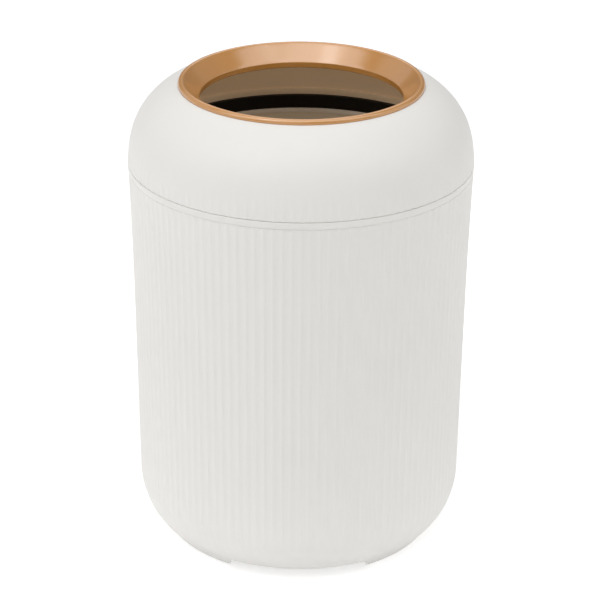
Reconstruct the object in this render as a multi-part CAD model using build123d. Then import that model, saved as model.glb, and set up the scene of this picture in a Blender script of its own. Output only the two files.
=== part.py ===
from build123d import *
import os
from math import asin, cos, degrees, radians, sin, tan

# A free-standing round waste bin: a fluted outer barrel on three moulded feet, a lift-out inner
# bucket, a ring that holds the bag on the bucket's rim, and a domed collar with a metallised
# mouth ring. Millimetres, +Z up, origin on the floor at the centre of the feet, front towards -Y.

# ---------------------------------------------------------------- outer barrel
SEAM_RADIUS = 112.5      # outside radius where the collar meets the barrel, the widest place
SEAM_HEIGHT = 259.5      # height of that seam above the floor
BARREL_WALL = 2.4
WALL_DRAFT = 0.8         # degrees, lower wall
SEAM_DRAFT = 2.2         # degrees, at the seam, where the wall flares out
FLARE_RADIUS = 3650.0    # radius of the gentle flare between the two drafts
BASE_ROUNDING = 47.5     # radius that turns the wall in towards the feet
ROUNDING_CENTRE = 39.3   # height of that radius's centre
MOUTH_EDGE = 0.5         # small radius on both edges of the seam

# ---------------------------------------------------------------- feet and floor
FOOT_COUNT = 3
FOOT_LIFT = 0.5          # the pads hold the foot edges this far off the floor
FOOT_HEIGHT = 7.0        # from the foot's edge up to the gaps between the feet
FOOT_LEAN = 5.6          # how far a foot's outer face leans in over its height
FOOT_WIDTH = 9.0         # radial width of a foot at its edge
GAP_HALF_ANGLE = 30.2    # degrees, half of each gap between two feet
GAP_END_LEAN = 27.0      # degrees, lean of the gap's ends
GAP_CORNER = 2.5
FLOOR_UNDERSIDE = 9.0    # height of the underside of the barrel's floor
FLOOR_THICKNESS = 2.6
PAD_WIDTH = 3.6
PAD_HEIGHT = 2.4
PAD_ARC = 44.0           # degrees along the foot, between the centres of the round ends
PAD_GAP = 0.2

# ---------------------------------------------------------------- collar
COLLAR_WALL = 2.2
SEAM_LEAN = 1.2          # degrees, the dome already leans in at the seam
SHOULDER_RADIUS = 89.2   # first, gentle radius of the dome
SHOULDER_TURN = 10.1     # degrees that the first radius turns through
DOME_END_SLOPE = 18.5    # degrees from level, where the dome reaches the mouth ring
SPIGOT_DEPTH = 8.0       # how far the collar's spigot reaches down into the barrel
SPIGOT_RISE = 10.7       # height of the spigot's step above the seam, inside the dome
SPIGOT_WALL = 1.4
SPIGOT_GAP = 0.4         # to the barrel's wall at the spigot's lower end
FLANGE_THICKNESS = 2.4   # of the collar round its mouth
SEAT_DEPTH = 0.4         # the mouth ring sits this deep in the dome

# ---------------------------------------------------------------- mouth ring
THROAT_RADIUS = 65.6
FUNNEL_WIDTH = 11.4      # from the throat out to the bead's centre
FUNNEL_SLOPE = 46.0      # degrees from level
THROAT_SKIRT = 3.8
BEAD_RADIUS = 2.4        # radius of the bead's own section
BEAD_RISE = 1.1          # centre of the bead above its seat
BEAD_GAP = 0.1
RING_WALL = 1.8
LEG_INSET = 2.5          # outside of the snap leg, in from the bead's centre
LEG_WALL = 1.6
LEG_GAP = 0.2
LEG_OVERRUN = 2.4        # how far the leg passes the collar's flange
HOOK_COUNT = 6
HOOK_ARC = 9.0           # degrees
HOOK_HEIGHT = 1.8
HOOK_REACH = 1.0
HOOK_GAP = 0.1

# ---------------------------------------------------------------- bag ring and bucket
RING_GAP = 0.4           # bag ring to the collar's spigot
BAG_RING_WALL = 1.0      # of its skirt
BAG_RING_HOOP = 3.7      # radial thickness of the hoop above the rim
BAG_RING_RISE = 6.9      # top of the hoop above the seam
BAG_RING_SKIRT = 7.4     # how far its skirt reaches down past the rim's top
BAG_GAP = 0.4            # for the bag, between the skirt and the rim
RIM_DROP = 2.1           # top of the bucket's rim below the seam
RIM_WIDTH = 3.0
RIM_HEIGHT = 3.0
RIM_OVERHANG = 0.4       # rim past the outside of the bucket's wall
BUCKET_WALL = 1.6
BUCKET_DRAFT = 1.2       # degrees
BUCKET_ROUNDING = 40.0
BUCKET_RECESS = 1.0      # depth of the hollow under the bucket
BUCKET_STAND = 8.0       # width of the ring that the bucket stands on
SOFT_EDGE = 0.4          # rounding of exposed moulded edges

# ---------------------------------------------------------------- places worked out from them
FLOOR_TOP = FLOOR_UNDERSIDE + FLOOR_THICKNESS
GAP_TOP = FOOT_LIFT + FOOT_HEIGHT
MOUTH_INNER = SEAM_RADIUS - BARREL_WALL
SPIGOT_OUTER = MOUTH_INNER - SPIGOT_DEPTH * tan(radians(SEAM_DRAFT)) - SPIGOT_GAP
SPIGOT_INNER = SPIGOT_OUTER - SPIGOT_WALL
BAG_RING_OUTER = SPIGOT_INNER - RING_GAP
RIM_OUTER = BAG_RING_OUTER - BAG_RING_WALL - BAG_GAP
RIM_TOP = SEAM_HEIGHT - RIM_DROP
BEAD_CENTRE = THROAT_RADIUS + FUNNEL_WIDTH
SEAT_RADIUS = BEAD_CENTRE + BEAD_RADIUS + BEAD_GAP
LEG_OUTER = BEAD_CENTRE - LEG_INSET


def heading(draft):
    """Direction down a wall that leans in by this many degrees."""
    return Vector(-sin(radians(draft)), -cos(radians(draft)))


def inward(draft):
    """Direction square to that wall, towards the axis."""
    return Vector(-cos(radians(draft)), sin(radians(draft)))


def turned(edges):
    """Solid turned about the axis from a closed outline of radius and height."""
    return revolve(Plane.XZ * make_face(edges), Axis.Z)


def washer(inner, outer, bottom, top):
    """Plain ring between two radii and two heights."""
    outline = Polyline((inner, bottom), (outer, bottom), (outer, top), (inner, top), close=True)
    return turned([outline])


def disc(radius, bottom, top):
    """Plain round plate or plug."""
    return washer(0, radius, bottom, top)


def around(shape, count, start=0.0):
    """Copies of a shape, evenly spaced about the axis."""
    return [Rot(0, 0, start + i * 360 / count) * shape for i in range(count)]


def barrel_run(inset, stop):
    """Wall outline from the seam down to the height stop, moved in by inset."""
    mouth = Vector(SEAM_RADIUS, SEAM_HEIGHT) + inward(SEAM_DRAFT) * inset
    flare = JernArc(mouth, heading(SEAM_DRAFT), FLARE_RADIUS + inset, SEAM_DRAFT - WALL_DRAFT)
    rounding = BASE_ROUNDING - inset
    low = ROUNDING_CENTRE - rounding * sin(radians(WALL_DRAFT))
    straight = ((flare @ 1).Y - low) / cos(radians(WALL_DRAFT))
    wall = Line(flare @ 1, flare @ 1 + heading(WALL_DRAFT) * straight)
    turn = degrees(asin((ROUNDING_CENTRE - stop) / rounding)) - WALL_DRAFT
    base = JernArc(wall @ 1, heading(WALL_DRAFT), rounding, -turn)
    return [flare, wall, base]


def foot_edge_radius():
    """Outside radius of the feet at their lower edge."""
    return (barrel_run(0, GAP_TOP)[-1] @ 1).X - FOOT_LEAN


def barrel_blank():
    """Outside of the barrel, still solid, with a foot all the way round."""
    run = barrel_run(0, GAP_TOP)
    foot = Polyline(run[-1] @ 1, (foot_edge_radius(), FOOT_LIFT), (0, FOOT_LIFT), (0, SEAM_HEIGHT))
    return turned(run + [foot, Line((0, SEAM_HEIGHT), run[0] @ 0)])


def barrel_cavity():
    """Inside of the barrel, open past its mouth."""
    run = barrel_run(BARREL_WALL, FLOOR_TOP)
    above = SEAM_HEIGHT + BARREL_WALL
    mouth = run[0] @ 0
    close = Polyline(run[-1] @ 1, (0, FLOOR_TOP), (0, above), (mouth.X, above), mouth)
    return turned(run + [close])


def foot_gap():
    """Front gap between two feet: a prism with leaning ends, cut from the axis outwards."""
    low = foot_edge_radius() * sin(radians(GAP_HALF_ANGLE))
    lean = tan(radians(GAP_END_LEAN))
    high = low - FOOT_HEIGHT * lean
    past = low + FOOT_LIFT * lean
    outline = Polygon((-past, 0), (past, 0), (high, GAP_TOP), (-high, GAP_TOP), align=None)
    outline = fillet(outline.vertices().group_by(Axis.Y)[-1], radius=GAP_CORNER)
    return extrude(Plane.XZ * outline, amount=SEAM_RADIUS)


def pad_shape(clearance, top):
    """Round-ended arc under the rear foot, from the floor up to top."""
    middle = foot_edge_radius() - FOOT_WIDTH / 2
    arc = CenterArc((0, 0), middle, 90 - PAD_ARC / 2, PAD_ARC)
    return extrude(SlotArc(arc, PAD_WIDTH + 2 * clearance), amount=top)


def outer_barrel():
    """Barrel, floor and feet in one moulding."""
    barrel = barrel_blank() - barrel_cavity()
    barrel -= disc(foot_edge_radius() - FOOT_WIDTH, 0, FLOOR_UNDERSIDE)
    for gap in around(foot_gap(), FOOT_COUNT):
        barrel -= gap
    for groove in around(pad_shape(PAD_GAP, PAD_HEIGHT), FOOT_COUNT):
        barrel -= groove
    rim = barrel.edges().filter_by(GeomType.CIRCLE).filter_by(on_seam)
    return fillet(rim, MOUTH_EDGE)


def on_seam(edge):
    """True for the outer edge at the seam."""
    return abs(edge.center().Z - SEAM_HEIGHT) < 0.01 and edge.radius > MOUTH_INNER + BARREL_WALL / 2


def dome_run(inset):
    """Dome outline from the seam up to the mouth ring's seat, moved in by inset."""
    start = Vector(SEAM_RADIUS, SEAM_HEIGHT)
    up = Vector(-sin(radians(SEAM_LEAN)), cos(radians(SEAM_LEAN)))
    across = Vector(-cos(radians(SEAM_LEAN)), -sin(radians(SEAM_LEAN)))
    shoulder = JernArc(start, up, SHOULDER_RADIUS, SHOULDER_TURN)
    lean = SEAM_LEAN + SHOULDER_TURN
    reach = cos(radians(lean)) - sin(radians(DOME_END_SLOPE))
    crown = ((shoulder @ 1).X - SEAT_RADIUS) / reach
    inner = JernArc(start + across * inset, up, SHOULDER_RADIUS - inset, SHOULDER_TURN)
    dome = JernArc(inner @ 1, inner % 1, crown - inset, 90 - DOME_END_SLOPE - lean)
    return [inner, dome]


def dome_edge():
    """Point where the dome's outside ends at the mouth ring's seat."""
    return dome_run(0)[-1] @ 1


def seat_height():
    """Height of the flat seat under the mouth ring's bead."""
    return dome_edge().Y - SEAT_DEPTH


def collar_blank():
    """Outside of the collar, still solid, with the rebate for the mouth ring."""
    run = dome_run(0)
    seat = seat_height()
    close = Polyline(run[-1] @ 1, (SEAT_RADIUS, seat), (0, seat), (0, SEAM_HEIGHT), run[0] @ 0)
    return turned(run + [close])


def collar_cavity():
    """Hollow inside the dome, below the flange round the mouth."""
    run = dome_run(COLLAR_WALL)
    under = seat_height() - FLANGE_THICKNESS
    start, end = run[0] @ 0, run[-1] @ 1
    below = SEAM_HEIGHT - COLLAR_WALL
    close = Polyline(end, (0, end.Y), (0, below), (start.X, below), start)
    hollow = turned(run + [close])
    return hollow - washer(0, SEAM_RADIUS, under, end.Y + FLANGE_THICKNESS)


def spigot():
    """Locating spigot under the dome; its upper end fills out to the dome's wall."""
    inside = washer(SPIGOT_INNER, SPIGOT_OUTER, SEAM_HEIGHT - SPIGOT_DEPTH, SEAM_HEIGHT)
    inside = chamfer(inside.edges().group_by(Axis.Z)[0], SPIGOT_WALL / 4)
    step = SEAM_HEIGHT + SPIGOT_RISE
    shoulder = washer(SPIGOT_INNER, SEAM_RADIUS - COLLAR_WALL / 2, SEAM_HEIGHT, step)
    return inside + (shoulder & collar_blank())


def top_collar():
    """Domed collar with its spigot and the round mouth."""
    collar = collar_blank() - collar_cavity()
    edge = collar.edges().filter_by(GeomType.CIRCLE).filter_by(on_seam)
    collar = fillet(edge, MOUTH_EDGE) + spigot()
    hole_top = dome_edge().Y + FLANGE_THICKNESS
    return collar - disc(LEG_OUTER + LEG_GAP, SEAM_HEIGHT + SPIGOT_RISE, hole_top)


def mouth_ring():
    """Bead, funnel, throat skirt and snap leg, turned in one piece, with hooks under the flange."""
    seat = seat_height()
    slope = radians(FUNNEL_SLOPE)
    centre = Vector(BEAD_CENTRE, seat + BEAD_RISE)
    foot = asin(BEAD_RISE / BEAD_RADIUS)
    bead = CenterArc(centre, BEAD_RADIUS, -degrees(foot), degrees(foot) + 90 + FUNNEL_SLOPE)
    top = bead @ 1
    throat = Vector(THROAT_RADIUS, top.Y - (top.X - THROAT_RADIUS) * tan(slope))
    skirt = throat.Y - THROAT_SKIRT
    back = THROAT_RADIUS + RING_WALL
    lift = RING_WALL / cos(slope)
    leg_inner = LEG_OUTER - LEG_WALL
    leg_end = seat - FLANGE_THICKNESS - LEG_OVERRUN
    corner = throat.Y + (back - THROAT_RADIUS) * tan(slope) - lift
    crook = throat.Y + (leg_inner - THROAT_RADIUS) * tan(slope) - lift
    rest = Polyline(
        top, throat, (THROAT_RADIUS, skirt), (back, skirt), (back, corner), (leg_inner, crook),
        (leg_inner, leg_end), (LEG_OUTER, leg_end), (LEG_OUTER, seat), bead @ 0,
    )
    ring = turned([bead, rest])
    lip = ring.edges().filter_by(GeomType.CIRCLE).filter_by(lambda e: e.radius < back + 0.1)
    ring = fillet(lip.group_by(Axis.Z)[0], RING_WALL / 3)
    for hook in around(snap_hook(), HOOK_COUNT):
        ring += hook
    return ring


def snap_hook():
    """Short hook on the outside of the leg, just under the collar's flange."""
    top = seat_height() - FLANGE_THICKNESS - HOOK_GAP
    root = LEG_OUTER - LEG_WALL / 2
    tip = LEG_OUTER + HOOK_REACH
    end = top - HOOK_HEIGHT
    section = Polyline((root, top), (tip, top), (LEG_OUTER, end), (root, end), close=True)
    hook = revolve(Plane.XZ * make_face([section]), Axis.Z, HOOK_ARC)
    return Rot(0, 0, -HOOK_ARC / 2) * hook


def bag_ring():
    """Hoop that sits on the bucket's rim, with a skirt outside it that traps the bag."""
    inner = BAG_RING_OUTER - BAG_RING_HOOP
    hoop = washer(inner, BAG_RING_OUTER, RIM_TOP, SEAM_HEIGHT + BAG_RING_RISE)
    skirt = washer(BAG_RING_OUTER - BAG_RING_WALL, BAG_RING_OUTER, RIM_TOP - BAG_RING_SKIRT, RIM_TOP)
    ring = hoop + skirt
    return fillet(ring.edges().group_by(Axis.Z)[-1], SOFT_EDGE)


def bucket_run(inset, bottom):
    """Bucket wall outline from under the rim down to level at the bottom."""
    top = Vector(RIM_OUTER - RIM_OVERHANG, RIM_TOP - RIM_HEIGHT) + inward(BUCKET_DRAFT) * inset
    rounding = BUCKET_ROUNDING - inset
    low = bottom + rounding * (1 - sin(radians(BUCKET_DRAFT)))
    straight = (top.Y - low) / cos(radians(BUCKET_DRAFT))
    wall = Line(top, top + heading(BUCKET_DRAFT) * straight)
    return [wall, JernArc(wall @ 1, heading(BUCKET_DRAFT), rounding, BUCKET_DRAFT - 90)]


def bucket_solid(inset, bottom):
    """Solid inside a bucket outline, from level at the bottom up to the rim."""
    run = bucket_run(inset, bottom)
    start = run[0] @ 0
    return turned(run + [Polyline(run[-1] @ 1, (0, bottom), (0, start.Y), start)])


def inner_bucket():
    """Lift-out bucket that stands on the barrel's floor."""
    outside = bucket_solid(0, FLOOR_TOP) + disc(RIM_OUTER, RIM_TOP - RIM_HEIGHT, RIM_TOP)
    bucket = outside - bucket_solid(BUCKET_WALL, FLOOR_TOP + BUCKET_RECESS + BUCKET_WALL)
    bucket -= disc(RIM_OUTER - RIM_WIDTH, RIM_TOP - RIM_HEIGHT - BUCKET_WALL, RIM_TOP)
    stand = (bucket_run(0, FLOOR_TOP)[-1] @ 1).X
    bucket -= disc(stand - BUCKET_STAND, FLOOR_TOP, FLOOR_TOP + BUCKET_RECESS)
    rim = bucket.edges().filter_by(GeomType.CIRCLE).filter_by(lambda e: e.center().Z > RIM_TOP - 0.01)
    return fillet(rim, SOFT_EDGE)


def foot_pads():
    """One rubber pad in each foot's groove, named for its place."""
    pads = around(pad_shape(0, PAD_HEIGHT), FOOT_COUNT)
    return dict(zip(("foot_pad_rear", "foot_pad_left", "foot_pad_right"), pads))


def main():
    """Write one STEP file for each piece."""
    pieces = {
        "outer_barrel": outer_barrel(),
        "inner_bucket": inner_bucket(),
        "bag_ring": bag_ring(),
        "top_collar": top_collar(),
        "mouth_ring": mouth_ring(),
    }
    pieces.update(foot_pads())
    os.makedirs("parts", exist_ok=True)
    for name, shape in pieces.items():
        export_step(shape, f"parts/{name}.step")


main()
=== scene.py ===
"""Looks of a round fluted waste bin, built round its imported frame.

Everything stands in the frame's own axes: +Z up, the front towards -Y, the floor at z = 0.
Lengths are in metres. Angles are in degrees, but for directions round the axis, which are in
radians. A section is a list of rows, each a radius and a height, with its outer face on the right.
"""

import logging
import math
from dataclasses import dataclass, field
from enum import Enum
from typing import Any, Callable, Optional, Union

import bmesh
import bpy
import numpy as np
from mathutils import Euler, Matrix, Vector


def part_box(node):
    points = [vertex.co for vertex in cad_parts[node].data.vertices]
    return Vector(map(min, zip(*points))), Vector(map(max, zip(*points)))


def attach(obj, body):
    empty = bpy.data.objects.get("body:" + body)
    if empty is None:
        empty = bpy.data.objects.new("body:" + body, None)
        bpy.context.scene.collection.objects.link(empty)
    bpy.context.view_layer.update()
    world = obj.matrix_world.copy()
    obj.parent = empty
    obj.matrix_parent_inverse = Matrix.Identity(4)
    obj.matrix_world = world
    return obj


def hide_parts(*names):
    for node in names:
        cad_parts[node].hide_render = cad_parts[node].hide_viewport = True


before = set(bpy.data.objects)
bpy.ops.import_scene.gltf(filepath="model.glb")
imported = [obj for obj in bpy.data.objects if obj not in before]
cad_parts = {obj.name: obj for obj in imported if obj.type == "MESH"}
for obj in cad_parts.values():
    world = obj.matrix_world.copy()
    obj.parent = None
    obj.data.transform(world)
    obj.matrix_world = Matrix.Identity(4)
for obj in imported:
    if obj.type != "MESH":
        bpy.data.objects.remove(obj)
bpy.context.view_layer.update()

log = logging.getLogger("waste_bin")

Colour = tuple[float, float, float]
Number = Union[float, np.ndarray]
Row = tuple[Number, Number]
Mark = Callable[[np.ndarray, np.ndarray, np.ndarray], np.ndarray]

TOUCH = 1e-6
NO_LIGHT: Colour = (0.0, 0.0, 0.0)
FULL_LIGHT: Colour = (1.0, 1.0, 1.0)


class Body(Enum):
    """Moving bodies of the frame."""

    BARREL = "barrel"
    BUCKET = "bucket"
    BAG_RING = "bag_ring"
    COLLAR = "collar"


class Slot(Enum):
    """Material slots of the record."""

    WHITE = "white_plastic"
    BUCKET = "bucket_plastic"
    BLACK = "black_plastic"
    COPPER = "copper_finish"
    RUBBER = "pad_rubber"


# --------------------------------------------------------------------------------------------
# Node trees
# --------------------------------------------------------------------------------------------
class Value:
    """A number socket that takes part in Python arithmetic: each operator adds a Math node."""

    def __init__(self, graph: "Graph", socket: bpy.types.NodeSocket) -> None:
        """Wrap a socket.

        Args:
            graph: The graph that the socket's node belongs to.
            socket: The output socket that carries the number.
        """
        self.graph = graph
        self.socket = socket

    def math(self, operation: str, *others: Any, flipped: bool = False) -> "Value":
        """Add a Math node.

        Args:
            operation: The Math node's operation.
            others: Further operands, numbers or values.
            flipped: Puts this value last instead of first.

        Returns:
            The node's result.
        """
        operands = [*others, self] if flipped else [self, *others]
        inputs = dict(enumerate(operands))
        node = self.graph.node("ShaderNodeMath", {"operation": operation}, inputs)
        return Value(self.graph, node.outputs[0])

    def __add__(self, other: Any) -> "Value":
        """Sum."""
        return self.math("ADD", other)

    def __radd__(self, other: Any) -> "Value":
        """Reflected sum."""
        return self.math("ADD", other, flipped=True)

    def __sub__(self, other: Any) -> "Value":
        """Difference."""
        return self.math("SUBTRACT", other)

    def __rsub__(self, other: Any) -> "Value":
        """Reflected difference."""
        return self.math("SUBTRACT", other, flipped=True)

    def __mul__(self, other: Any) -> "Value":
        """Product."""
        return self.math("MULTIPLY", other)

    def __rmul__(self, other: Any) -> "Value":
        """Reflected product."""
        return self.math("MULTIPLY", other, flipped=True)

    def __truediv__(self, other: Any) -> "Value":
        """Quotient."""
        return self.math("DIVIDE", other)

    def __rtruediv__(self, other: Any) -> "Value":
        """Reflected quotient."""
        return self.math("DIVIDE", other, flipped=True)

    def __pow__(self, other: Any) -> "Value":
        """Power."""
        return self.math("POWER", other)

    def __rpow__(self, other: Any) -> "Value":
        """Reflected power."""
        return self.math("POWER", other, flipped=True)

    def fract(self) -> "Value":
        """Part after the decimal point."""
        return self.math("FRACT")

    def within(self, low: float, high: float) -> "Value":
        """Value held between two limits."""
        return self.math("MAXIMUM", low).math("MINIMUM", high)


class Graph:
    """A node tree with one method that makes any node."""

    def __init__(self, tree: bpy.types.NodeTree) -> None:
        """Start from an empty tree.

        Args:
            tree: The tree to fill.
        """
        tree.nodes.clear()
        self.tree = tree

    def node(self, kind: str, settings: Optional[dict[str, Any]] = None,
             inputs: Optional[dict[Any, Any]] = None) -> bpy.types.Node:
        """Add a node, set it up and feed it.

        Args:
            kind: The node's type.
            settings: Properties of the node, set before its sockets are fed.
            inputs: Socket name or number, with a number, colour, value, socket or data block.

        Returns:
            The new node.
        """
        node = self.tree.nodes.new(kind)
        for name, setting in (settings or {}).items():
            setattr(node, name, setting)
        for name, source in (inputs or {}).items():
            self.feed(node.inputs[name], source)
        return node

    def feed(self, socket: bpy.types.NodeSocket, source: Any) -> None:
        """Link a socket to a source, or set its own value.

        Args:
            socket: The input socket.
            source: A value, an output socket, or a plain setting.
        """
        if isinstance(source, Value):
            source = source.socket
        if isinstance(source, bpy.types.NodeSocket):
            self.tree.links.new(source, socket)
        elif isinstance(source, tuple) and len(source) == 3 and socket.type == "RGBA":
            socket.default_value = (*source, 1.0)
        else:
            socket.default_value = source

    def value(self, kind: str, output: Union[str, int], settings: Optional[dict[str, Any]] = None,
              inputs: Optional[dict[Any, Any]] = None) -> Value:
        """Add a node and take one of its outputs as a number.

        Args:
            kind: The node's type.
            output: Name or number of the output.
            settings: As for node().
            inputs: As for node().

        Returns:
            The output as a value.
        """
        return Value(self, self.node(kind, settings, inputs).outputs[output])


class GeometryTool:
    """A Geometry Nodes tree with named inputs, run on a piece and turned into a plain mesh."""

    def __init__(self, name: str, inputs: dict[str, str]) -> None:
        """Make the tree with its interface.

        Args:
            name: Name of the tree.
            inputs: Input name with its socket type, besides the geometry and the material.
        """
        self.tree = bpy.data.node_groups.new(name, "GeometryNodeTree")
        self.graph = Graph(self.tree)
        face = self.tree.interface
        face.new_socket("Geometry", in_out="INPUT", socket_type="NodeSocketGeometry")
        for title, kind in inputs.items():
            face.new_socket(title, in_out="INPUT", socket_type=kind)
        face.new_socket("Material", in_out="INPUT", socket_type="NodeSocketMaterial")
        face.new_socket("Geometry", in_out="OUTPUT", socket_type="NodeSocketGeometry")
        self.source = self.graph.node("NodeGroupInput")

    def given(self, title: str) -> Value:
        """Named input of the tree as a value."""
        return Value(self.graph, self.source.outputs[title])

    def close(self, geometry: bpy.types.NodeSocket) -> None:
        """End the tree with realised instances and the material.

        Args:
            geometry: The finished shape.
        """
        real = self.graph.node("GeometryNodeRealizeInstances", None, {"Geometry": geometry})
        dressed = self.graph.node("GeometryNodeSetMaterial", None, {
            "Geometry": real.outputs[0], "Material": self.source.outputs["Material"]})
        self.graph.node("NodeGroupOutput", None, {"Geometry": dressed.outputs[0]})

    def run(self, piece: bpy.types.Object, material: bpy.types.Material,
            **settings: float) -> bpy.types.Object:
        """Run the tree on a piece and keep the result as the piece's plain mesh.

        Args:
            piece: The object whose mesh goes in.
            material: The finish of the result.
            settings: Input titles in lower case, with their numbers.

        Returns:
            The same object, with the finished mesh and no modifier.
        """
        modifier = piece.modifiers.new(self.tree.name, "NODES")
        modifier.node_group = self.tree
        for item in self.tree.interface.items_tree:
            if item.in_out == "INPUT" and item.name.lower() in settings:
                modifier[item.identifier] = settings[item.name.lower()]
            elif item.name == "Material":
                modifier[item.identifier] = material
        graph = bpy.context.evaluated_depsgraph_get()
        done = bpy.data.meshes.new_from_object(
            piece.evaluated_get(graph), preserve_all_data_layers=True, depsgraph=graph)
        piece.modifiers.clear()
        rough, piece.data = piece.data, done
        bpy.data.meshes.remove(rough)
        done.name = piece.name
        return piece


def flute_tool() -> GeometryTool:
    """Tool that sinks shallow channels into the skin where the attribute "flute" is above 0.

    Returns:
        The tool, with the inputs Count, Depth, Land and Turn.
    """
    tool = GeometryTool("cut_flutes", {
        "Count": "NodeSocketFloat", "Depth": "NodeSocketFloat",
        "Land": "NodeSocketFloat", "Turn": "NodeSocketFloat"})
    graph = tool.graph
    place = graph.node("GeometryNodeInputPosition").outputs[0]
    split = graph.node("ShaderNodeSeparateXYZ", None, {0: place})
    across = Value(graph, split.outputs[0])
    along = Value(graph, split.outputs[1])
    angle = along.math("ARCTAN2", across)
    count, land = tool.given("Count"), tool.given("Land")
    pitch = ((angle - tool.given("Turn")) * count / math.tau + count).fract()
    share = ((pitch - land) / (1.0 - 2.0 * land)).within(0.0, 1.0)
    hollow = 4.0 * share * (1.0 - share)
    weight = graph.value("GeometryNodeInputNamedAttribute", 0, {"data_type": "FLOAT"},
                         {"Name": "flute"})
    sink = hollow * weight * tool.given("Depth") * -1.0
    offset = graph.node("ShaderNodeCombineXYZ", None, {
        0: angle.math("COSINE") * sink, 1: angle.math("SINE") * sink})
    moved = graph.node("GeometryNodeSetPosition", None, {
        "Geometry": tool.source.outputs["Geometry"], "Offset": offset.outputs[0]})
    layer = {"data_type": "FLOAT", "domain": "POINT"}
    marked = graph.node("GeometryNodeStoreNamedAttribute", layer, {
        "Geometry": moved.outputs[0], "Name": "ridge", "Value": (1.0 - hollow) * weight})
    tool.close(marked.outputs[0])
    return tool


def copies_tool() -> GeometryTool:
    """Tool that repeats a shape evenly round the axis.

    Returns:
        The tool, with the inputs Count and Start, an angle in radians.
    """
    tool = GeometryTool("copies_round_axis", {"Count": "NodeSocketInt", "Start": "NodeSocketFloat"})
    graph = tool.graph
    points = graph.node("GeometryNodePoints", None, {"Count": tool.source.outputs["Count"]})
    number = graph.value("GeometryNodeInputIndex", 0)
    turn = number * math.tau / tool.given("Count") + tool.given("Start")
    spin = graph.node("ShaderNodeCombineXYZ", None, {2: turn})
    placed = graph.node("GeometryNodeInstanceOnPoints", None, {
        "Points": points.outputs[0], "Instance": tool.source.outputs["Geometry"],
        "Rotation": spin.outputs[0]})
    tool.close(placed.outputs[0])
    return tool


# --------------------------------------------------------------------------------------------
# Finishes
# --------------------------------------------------------------------------------------------
class Shader(Graph):
    """The node tree of a new material, with what the finishes share."""

    def __init__(self, name: str) -> None:
        """Make the material.

        Args:
            name: Name of the material.
        """
        self.material = bpy.data.materials.new(name)
        self.material.use_nodes = True
        super().__init__(self.material.node_tree)
        self.place = self.node("ShaderNodeTexCoord").outputs["Object"]

    def noise(self, size: float, detail: float = 3.0, roughness: float = 0.5) -> Value:
        """Soft noise on object coordinates.

        Args:
            size: Size of its patches in metres.
            detail: Octaves of finer noise.
            roughness: Strength of the finer octaves.

        Returns:
            The noise, about 0 to 1 with a mean of 0.5.
        """
        return self.value("ShaderNodeTexNoise", 0, None, {
            "Vector": self.place, "Scale": 1.0 / size, "Detail": detail, "Roughness": roughness})

    def along(self, axis: int) -> Value:
        """Object coordinate along an axis: 0 for X, 1 for Y, 2 for Z."""
        return self.value("ShaderNodeSeparateXYZ", axis, None, {0: self.place})

    def attribute(self, name: str) -> Value:
        """Number stored on the piece's mesh."""
        return self.value("ShaderNodeAttribute", "Fac", {"attribute_name": name})

    def blend(self, share: Any, first: Any, second: Any) -> bpy.types.NodeSocket:
        """Mix two colours.

        Args:
            share: How much of the second colour, 0 to 1.
            first: First colour.
            second: Second colour.

        Returns:
            The mixed colour's socket.
        """
        node = self.node("ShaderNodeMix", {"data_type": "RGBA"})
        self.feed(node.inputs[0], share)
        self.feed(node.inputs[6], first)
        self.feed(node.inputs[7], second)
        return node.outputs[2]

    def bump(self, height: Any, distance: float,
             under: Optional[bpy.types.NodeSocket] = None) -> bpy.types.NodeSocket:
        """Turn a height into a normal.

        Args:
            height: Height, about 0 to 1.
            distance: How much a height of 1 stands out, in metres.
            under: Normal of a coarser bump below this one.

        Returns:
            The normal's socket.
        """
        inputs: dict[str, Any] = {"Height": height, "Distance": distance, "Strength": 1.0}
        if under is not None:
            inputs["Normal"] = under
        return self.node("ShaderNodeBump", None, inputs).outputs[0]

    def finish(self, **sockets: Any) -> bpy.types.Material:
        """End the material in a principled surface.

        Args:
            sockets: Socket names with an underscore for each space, and their sources.

        Returns:
            The finished material.
        """
        inputs = {name.replace("_", " "): source for name, source in sockets.items()}
        surface = self.node("ShaderNodeBsdfPrincipled", None, inputs)
        self.node("ShaderNodeOutputMaterial", None, {"Surface": surface.outputs[0]})
        return self.material


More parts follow.
